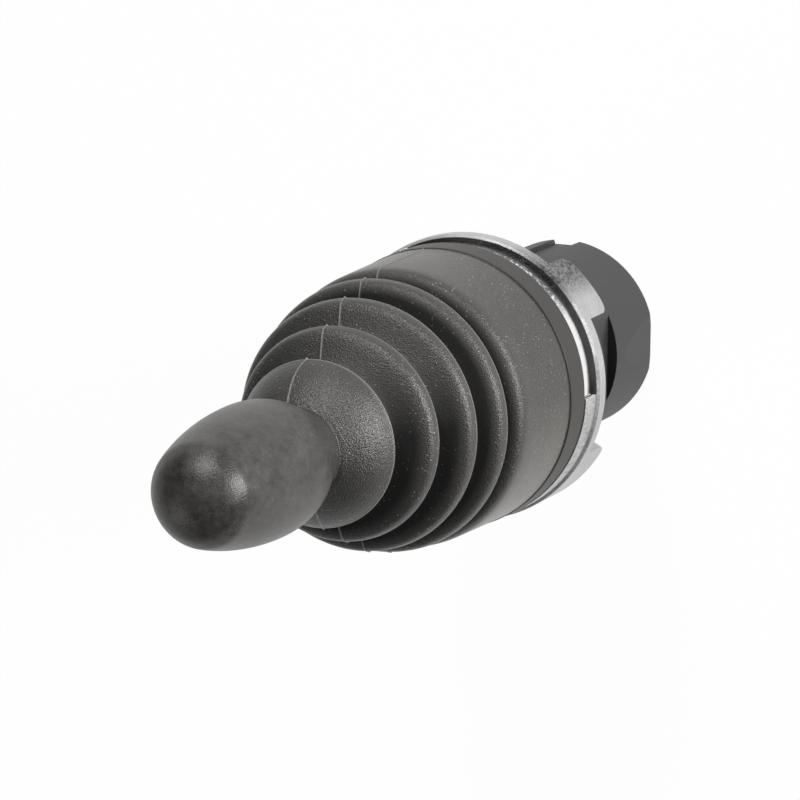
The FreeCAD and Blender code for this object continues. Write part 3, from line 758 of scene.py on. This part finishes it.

# %% [markdown]
# ## Rubber
# Close up, the rubber is not smooth: it has the fine spark-eroded grain of its mould, with small
# pits, and it breaks each highlight into sparkles. Slow patches let its tone drift. The mould lines
# are worn pale; the lips are worn pale too and painted lighter as a highlight along their thin
# edge;
# and pale specks of dust lie on it. The skirt is smoother and browner than the folds. It is painted
# lighter on its low side, and its grain loses shine on its upper side, as if lit from below. The
# insides of the folds are painted near black as shade, less so on the upper folds, where light
# falls from above. A darker colour alone can't show that, because a black surface still mirrors the
# lamps, so they are rougher as well, and the Metallic input takes the shine away: a metal mirrors
# only in its own colour, which is near black here. Rubber isn't metal; that is a trick of the look.

# %% Rubber finish
GRAIN_MM, PIT_MM, PATCH_MM, DUST_MM, SPECK_MM = 0.14, 0.2, 4.5, 7.0, 0.55
WARM_SHINE = (1.0, 0.975, 0.945, 1.0)
SKIRT_END, LOW_SIDE = (22.0, 25.5), (-13.0, 2.0)
LIT_SIDE, LIT_FOLDS = (1.0, 8.0), (32.0, 34.0)
DUSTY, SPECK_EDGE, DULL_GRAIN = (0.36, 0.58), (0.09, 0.14), (0.35, 0.65)
FOLD_TONES = grey(0.012, 0.03), grey(0.042, 0.03)
SKIRT_TONES = grey(0.008, 0.14), grey(0.036, 0.14)
# Painted light: the skirt's low side takes these lighter tones, as if lit from below.
LIT_SKIRT_TONES = grey(0.048, 0.16), grey(0.09, 0.16)
# A near-black painted shade for the folds' insides; a pale that is wear on the mould lines and a
# painted highlight on the lips; dust.
FOLD_SHADE, WORN_PALE_AND_HIGHLIGHT, DUST = grey(0.002), grey(0.2, 0.01), grey(0.36)

rubber = Finish("boot_rubber_grained", Specular_IOR_Level=0.75, Specular_Tint=WARM_SHINE)
boot_y, boot_z = rubber.axis("Y"), rubber.axis("Z")
skirt_part = 1 - boot_z.above(*SKIRT_END)
# The skirt's low side, which is painted lighter as if lit from below.
low_side = 1 - boot_y.above(*LOW_SIDE)
grain = rubber.noise(GRAIN_MM, detail=2.0, roughness=0.6)
pits = rubber.cells(PIT_MM)
patches = rubber.noise(PATCH_MM, detail=2.0)
dusty = rubber.noise(DUST_MM, detail=1.0).above(*DUSTY) + skirt_part * 0.6 * (1 - low_side)
specks = (1 - rubber.cells(SPECK_MM).above(*SPECK_EDGE)) * dusty.clamped()
# Painted shade inside the folds, taken back on the upper folds, where light falls from above.
lit_upper_fold = boot_y.above(*LIT_SIDE) * boot_z.above(*LIT_FOLDS)
fold_shade = rubber.mark("fold_shade") * (1 - 0.75 * lit_upper_fold)
mottle = grain.stretched() * 0.6 + patches * 0.4
rubber_colour = rubber.painted(
    rubber.mix(mottle, *FOLD_TONES),
    (skirt_part * 0.95, rubber.mix(low_side, rubber.mix(mottle, *SKIRT_TONES),
                                   rubber.mix(mottle, *LIT_SKIRT_TONES))),
    ((fold_shade * 0.95).clamped(), FOLD_SHADE),
    # Lips: worn pale and painted lighter as a highlight.
    ((rubber.mark("lip") * 0.95).clamped(), WORN_PALE_AND_HIGHLIGHT),
    ((rubber.mark("mould_line") * 0.6).clamped(), WORN_PALE_AND_HIGHLIGHT),
    (specks * (1 - 0.7 * fold_shade) * 0.85, DUST),
)
# The Metallic input takes the shine off the painted shade in the folds and off the grain on the
# skirt's upper side.
dull_grain = (1 - grain.above(*DULL_GRAIN)) * (1 - specks)
shade_dulling = fold_shade * 0.6 + skirt_part * (1 - low_side) * dull_grain * 0.45
relief = (grain * 0.9 + pits * 0.6) * (1 - skirt_part * 0.3 - fold_shade * 0.3)
rubber.feed(Base_Color=rubber_colour,
            Roughness=0.35 + 0.14 * grain - 0.05 * patches - 0.09 * skirt_part + 0.45 * fold_shade,
            Metallic=shade_dulling.clamped(),
            Normal=rubber.bump(relief, depth_mm=0.062))
for part in (boot_lower, boot_upper):
    wear(part, rubber)

# %% [markdown]
# ## Satin plastic of the knob
# The knob's plastic is a little warmer than the rubber and smoother, with a soft pebble that only
# shows in the highlight. Fingers have polished it in places, so its roughness and its tone drift
# from patch to patch. Its darkest patches lose some of their shine, by the same trick as the
# insides of the folds.

# %% Knob finish
PEBBLE_MM, POLISH_MM, BLOTCH_MM = 0.15, 3.5, 0.9
SATIN_TONES = grey(0.018, 0.07), grey(0.06, 0.07)
SATIN_RANGE = (0.33, 0.67)

satin = Finish("knob_satin", Specular_IOR_Level=0.5)
pebble = satin.noise(PEBBLE_MM, detail=2.0)
polish = satin.noise(POLISH_MM, detail=3.0)
blotches = satin.noise(BLOTCH_MM, detail=4.0, roughness=0.6)
satin_shade = (polish * 0.35 + blotches * 0.4 + pebble * 0.25).above(*SATIN_RANGE)
satin.feed(Base_Color=satin.mix(satin_shade, *SATIN_TONES),
           Roughness=0.24 + 0.14 * polish + 0.12 * blotches,
           Metallic=(1 - satin_shade) * 0.3,
           Normal=satin.bump(pebble, depth_mm=0.05, strength=0.8))
wear(knob, satin)

# %% [markdown]
# ## Cast zinc
# The ring is raw die-cast zinc: bright grey, with a grainy skin and slow stains. The flat front of
# its web, in the corner between the sleeve and the rim, is painted near black as shade. A strip
# across the ring has a rough grain and is painted dark as shade, and on one side of it the rim's
# bevel is pored and painted darker as shade. The guards carry streaks along the way they left the
# mould. Each of these has a place, so each is a mask made of the distance from the axis, the
# height, and the distance across the ring.

# %% Cast metal finish
SKIN_MM, STAIN_MM, WORN_MM, PORE_MM, STREAK_MM = 0.14, 2.6, 5.0, 0.34, 0.16
STREAK_WAY = (1.0, 1.0, 0.12)
ROUGH_FROM, ROUGH_TO = (-3.5, 0.8), (4.0, 10.0)
# Where the bevel is, and across the ring the side where it stays lit; short of that it is painted
# darker as shade.
BEVEL_RADII, BEVEL_HEIGHTS, BEVEL_LIT_SIDE = (15.6, 15.75), (6.3, 6.4), (4.0, 12.0)
GUARD_HEIGHTS, WEB_HEIGHTS, WEB_RADII = (6.75, 6.95), (6.5, 6.68), (15.7, 15.8)
MOULD_WORN, PORED = (0.45, 0.62), (0.4, 0.62)
ZINC_TONES, BEVEL_SHADE_TONES, STREAK_TONES = (
    (grey(low), grey(high)) for low, high in ((0.36, 0.7), (0.12, 0.3), (0.34, 0.68)))
# Painted shade for the rough strip and for the web's front.
ROUGH_SHADE, WEB_SHADE = grey(0.05), grey(0.04)

cast = Finish("zinc_die_cast", Metallic=1.0)
ring_x, ring_y, ring_z = [cast.axis(letter) for letter in "XYZ"]
away = (ring_x ** 2 + ring_y ** 2) ** 0.5
across = ring_y - ring_x
# The rough strip has a rough grain and is painted dark as shade.
rough_shaded_side = across.above(*ROUGH_FROM) * (1 - across.above(*ROUGH_TO))
off_guard = 1 - ring_z.above(*GUARD_HEIGHTS)
# The web's front, in the corner by the sleeve, is painted near black as shade.
web_shade = ring_z.above(*WEB_HEIGHTS) * off_guard * (1 - away.above(*WEB_RADII))
bevel = away.above(*BEVEL_RADII) * ring_z.above(*BEVEL_HEIGHTS) * off_guard
# On one side of the strip the rim's bevel is painted darker as shade, with pores.
shaded_bevel = bevel * (1 - across.above(*BEVEL_LIT_SIDE))
skin = cast.noise(SKIN_MM, detail=3.0, roughness=0.65)
stain = cast.noise(STAIN_MM, detail=4.0)
worn_mould = cast.noise(WORN_MM, detail=1.0).above(*MOULD_WORN)
pores = cast.noise(PORE_MM, detail=3.0, roughness=0.7).above(*PORED)
streaks = cast.noise(STREAK_MM, detail=2.0, stretch=STREAK_WAY).stretched()
cast_colour = cast.painted(
    cast.mix(stain * 0.4 + skin.stretched() * 0.6, *ZINC_TONES),
    (shaded_bevel * 0.65, cast.mix(pores, *BEVEL_SHADE_TONES)),
    ((1 - off_guard) * 0.8, cast.mix(streaks, *STREAK_TONES)),
    (rough_shaded_side * (0.5 + 0.5 * pores), ROUGH_SHADE),
    (web_shade * 0.92, WEB_SHADE),
)
relief = skin * (0.5 + 0.5 * worn_mould + 0.8 * rough_shaded_side)
cast.feed(Base_Color=cast_colour,
          Roughness=0.42 + 0.12 * worn_mould + 0.12 * skin + 0.12 * shaded_bevel,
          Normal=cast.bump(relief, depth_mm=0.055, strength=0.9))
wear(clamp_ring, cast)

# %% [markdown]
# ## Plating and the dark band
# Plating is nearly a mirror, with faint waves. On its upper side the sleeve is painted dark, as a
# painted reflection of something dark, and a noise leaves bright spots in it. The collar is smooth
# satin plastic with a brown cast.

# %% Sleeve and collar finishes
WAVE_MM, SPOT_MM, DRIFT_MM, FINE_MM = 1.4, 0.5, 6.0, 0.2
# A painted reflection: the sleeve's upper side is coloured dark, with gaps that leave bright spots.
REFLECTION_WAY, REFLECTION_FROM, REFLECTION_GAPS = (-0.174, 0.985), (5.5, 9.0), (0.5, 0.66)
PLATING_TONES, REFLECTED_DARK = (grey(0.86), grey(0.93)), grey(0.1)
BAND_TONES = grey(0.014, 0.12), grey(0.022, 0.12)

plating = Finish("bright_plating", Metallic=1.0)
waves = plating.noise(WAVE_MM, detail=2.0)
upwards = plating.axis("X") * REFLECTION_WAY[0] + plating.axis("Y") * REFLECTION_WAY[1]
bright_spots = plating.noise(SPOT_MM, detail=3.0).above(*REFLECTION_GAPS)
# Painted dark reflection on the upper side, broken by bright spots.
dark_reflection = upwards.above(*REFLECTION_FROM) * (1 - bright_spots)
plating_colour = plating.painted(plating.mix(waves, *PLATING_TONES), (dark_reflection * 0.9, REFLECTED_DARK))
plating.feed(Base_Color=plating_colour,
             Roughness=0.06 + 0.07 * waves + 0.2 * dark_reflection,
             Normal=plating.bump(waves, depth_mm=0.03, strength=0.25))
wear(sleeve, plating)

band = Finish("collar_plastic")
drift = band.noise(DRIFT_MM, detail=3.0)
band.feed(Base_Color=band.mix(drift, *BAND_TONES),
          Roughness=0.46 + 0.1 * drift,
          Normal=band.bump(band.noise(FINE_MM, detail=2.0), depth_mm=0.012, strength=0.3))
wear(collar, band)

# %% [markdown]
# ## Barrel and inner pieces
# The barrel is glass-filled plastic, which is a matt dark grey with very fine flow marks along its
# length. The pocket in its side ends in a face that no light reaches, so that face is painted
# black as shade and left rough. The inner pieces are seen only when the joystick is taken apart:
# each gets its material's own colour in two tones, and a fine bump.

# %% Other finishes
# The pocket's end face is painted black as shade.
BARREL_TONES, POCKET_SHADE = (grey(0.014), grey(0.030)), grey(0.004)
POCKET_FACE, POCKET_LOW, POCKET_HIGH = (9.8, 9.9), (-11.0, -10.95), (-10.8, -10.7)
FLOW_MM, FLOW_WAY, CLOUD_MM = 0.5, (1.0, 1.0, 0.2), 7.0
INNER_PATCH_MM, INNER_FINE_MM = 4.0, 0.3

barrel = Finish("barrel_plastic")
flow = barrel.noise(FLOW_MM, detail=3.0, stretch=FLOW_WAY)
cloud = barrel.noise(CLOUD_MM, detail=2.0)
in_pocket = barrel.axis("Z").above(*POCKET_LOW) * (1 - barrel.axis("Z").above(*POCKET_HIGH))
pocket_end_shade = barrel.axis("X").above(*POCKET_FACE) * in_pocket
barrel_colour = barrel.painted(barrel.mix(cloud * 0.5 + flow.stretched() * 0.5, *BARREL_TONES),
                               (pocket_end_shade, POCKET_SHADE))
barrel.feed(Base_Color=barrel_colour,
            Roughness=0.5 + 0.1 * flow + 0.4 * pocket_end_shade,
            Metallic=pocket_end_shade * 0.5,
            Normal=barrel.bump(flow, depth_mm=0.012, strength=0.35))


def plain_finish(name, low, high, metallic, smoothest, roughest):
    """A finish for an inner piece: two colours in slow patches, a drifting roughness and a fine
    bump."""
    made = Finish(name, Metallic=metallic)
    patch = made.noise(INNER_PATCH_MM, detail=3.0)
    fine = made.noise(INNER_FINE_MM, detail=2.0)
    made.feed(Base_Color=made.mix(patch, low, high),
              Roughness=smoothest + (roughest - smoothest) * patch,
              Normal=made.bump(fine, depth_mm=0.01, strength=0.4))
    return made


steel = plain_finish("turned_steel", grey(0.5), grey(0.62), 1.0, 0.22, 0.36)
spring = plain_finish("spring_steel", grey(0.34), grey(0.46), 1.0, 0.25, 0.4)
brass = plain_finish("turned_brass", (0.62, 0.44, 0.19, 1), (0.74, 0.56, 0.26, 1), 1.0, 0.25, 0.4)
bronze = plain_finish("sintered_bronze", (0.5, 0.31, 0.15, 1), (0.6, 0.4, 0.2, 1), 1.0, 0.4, 0.55)
acetal = plain_finish("white_acetal", grey(0.7, 0.02), grey(0.78, 0.02), 0.0, 0.3, 0.42)
inner_grey = plain_finish("frame_plastic", grey(0.13), grey(0.17), 0.0, 0.45, 0.6)
seal = plain_finish("seal_rubber", grey(0.02), grey(0.03), 0.0, 0.55, 0.7)

# %% Finishes on their pieces
FINISHES = {
    "black_plastic": barrel, "sealing_rubber": seal, "die_cast_metal": cast,
    "bright_plating": plating, "brown_plastic": band, "boot_rubber": rubber,
    "frame_plastic": inner_grey, "bearing_bronze": bronze, "plain_steel": steel,
    "spring_steel": spring, "white_acetal": acetal, "turned_brass": brass,
    "knob_plastic": satin,
}
for piece in springs:
    wear(piece, spring)
slots = {entry["node"]: entry["material_slot"] for entry in frame["record"]["subparts"]}
for node, solid in frame["nodes"].items():
    wear(solid, FINISHES[slots[node]])
print("finishes given to", len(frame["nodes"]), "solids")

# %% [markdown]
# ## Floor and world
# The photograph is a cut-out on pure white. A pale floor lies under the barrel's rear rim. To the
# camera and to mirrors it is nearly white, so that only a breath of the shadow is left. Above the
# horizon the room is dark to a mirror, as a studio is on the photographer's side: metal needs
# something dark to mirror as well as something white.

# %% Floor and world
FLOOR_HALF, FLOOR_LEVEL = 1.5, -22.45 * MM
FLOOR_GLOW = 0.97
WHITE = grey(1.0)
floor_mesh = bpy.data.meshes.new("studio_floor")
floor_corners = [(-FLOOR_HALF, -FLOOR_HALF, FLOOR_LEVEL), (FLOOR_HALF, -FLOOR_HALF, FLOOR_LEVEL),
                 (FLOOR_HALF, FLOOR_HALF, FLOOR_LEVEL), (-FLOOR_HALF, FLOOR_HALF, FLOOR_LEVEL)]
floor_mesh.from_pydata(floor_corners, [], [(0, 1, 2, 3)])
floor = bpy.data.objects.new("studio_floor", floor_mesh)
bpy.context.collection.objects.link(floor)
paper = Finish("studio_paper", Roughness=0.9, Base_Color=grey(0.86))
seen, mirrored, through = paper.rays()
glow = paper.node("ShaderNodeEmission", sockets={"Color": WHITE, "Strength": 1.0})
plain_paper = Signal(paper, paper.shader.outputs[0])
blank = paper.node("ShaderNodeMixShader", sockets={
    0: (seen + mirrored + through) * FLOOR_GLOW, 1: plain_paper, 2: glow})
paper.tree.links.new(blank.socket, paper.tree.nodes["Material Output"].inputs["Surface"])
wear(floor, paper)


class Room(Finish):
    """The world's nodes, written in the same sums as a finish."""

    def __init__(self, name):
        self.world = bpy.data.worlds.new(name)
        self.world.use_nodes = True
        self.name, self.tree = name, self.world.node_tree
        self.shader = self.tree.nodes["Background"]
        self.shader.inputs["Color"].default_value = WHITE


ROOM_LIGHT, WALL_GLOW = 0.1, 0.8
WALL_RISE = (0.0, 0.08)
room = Room("studio")
bpy.context.scene.world = room.world
seen, mirrored, through = room.rays()
rise = room.node("ShaderNodeSeparateXYZ", sockets={"Vector": room.place()}, output="Z")
in_mirrors = mirrored * (1 - rise.above(*WALL_RISE)) * WALL_GLOW
on_surfaces = (1 - seen) * (1 - mirrored) * ROOM_LIGHT
room.feed(Strength=seen + through + in_mirrors + on_surfaces)

# %% [markdown]
# ## Lamps
# Three large, soft lamps light the joystick. The key lamp stands low at the photograph's right, so
# that it draws a narrow band along each roll of the boot. The second one stands at the
# photograph's top and lights the upper side of the folds and the dome of the knob. A weak fill
# stands at the lower left.

# %% Lamps
LAMP_AIM = np.array([0, 0, 25.0]) * MM


def softbox(name, round_about, rise_angle, distance, width, power):
    """A round area lamp that looks at the joystick's middle. Formula: its direction is (cos a
    cos e, sin a cos e, sin e), with a the angle round the axis from +X and e the angle above the
    floor, both in degrees."""
    around, above = math.radians(round_about), math.radians(rise_angle)
    way = np.array([math.cos(around) * math.cos(above), math.sin(around) * math.cos(above),
                    math.sin(above)])
    lamp_data = bpy.data.lights.new(name, "AREA")
    lamp_data.shape = "DISK"
    lamp_data.size = width
    lamp_data.energy = power
    lamp = bpy.data.objects.new(name, lamp_data)
    lamp.location = Vector(LAMP_AIM + way * distance)
    lamp.rotation_mode = "QUATERNION"
    lamp.rotation_quaternion = Vector(-way).to_track_quat("-Z", "Y")
    bpy.context.collection.objects.link(lamp)
    print(name, np.round(lamp.location, 3))


softbox("key_softbox", round_about=18, rise_angle=16, distance=0.9, width=0.28, power=9.5)
softbox("dome_softbox", round_about=92, rise_angle=38, distance=0.9, width=0.2, power=5.4)
softbox("back_fill", round_about=-140, rise_angle=35, distance=0.9, width=0.4, power=1.2)

# %% [markdown]
# ## Colour
# The plain view transform shows colours as they are written.

# %% Finish
bpy.context.scene.view_settings.view_transform = "Standard"
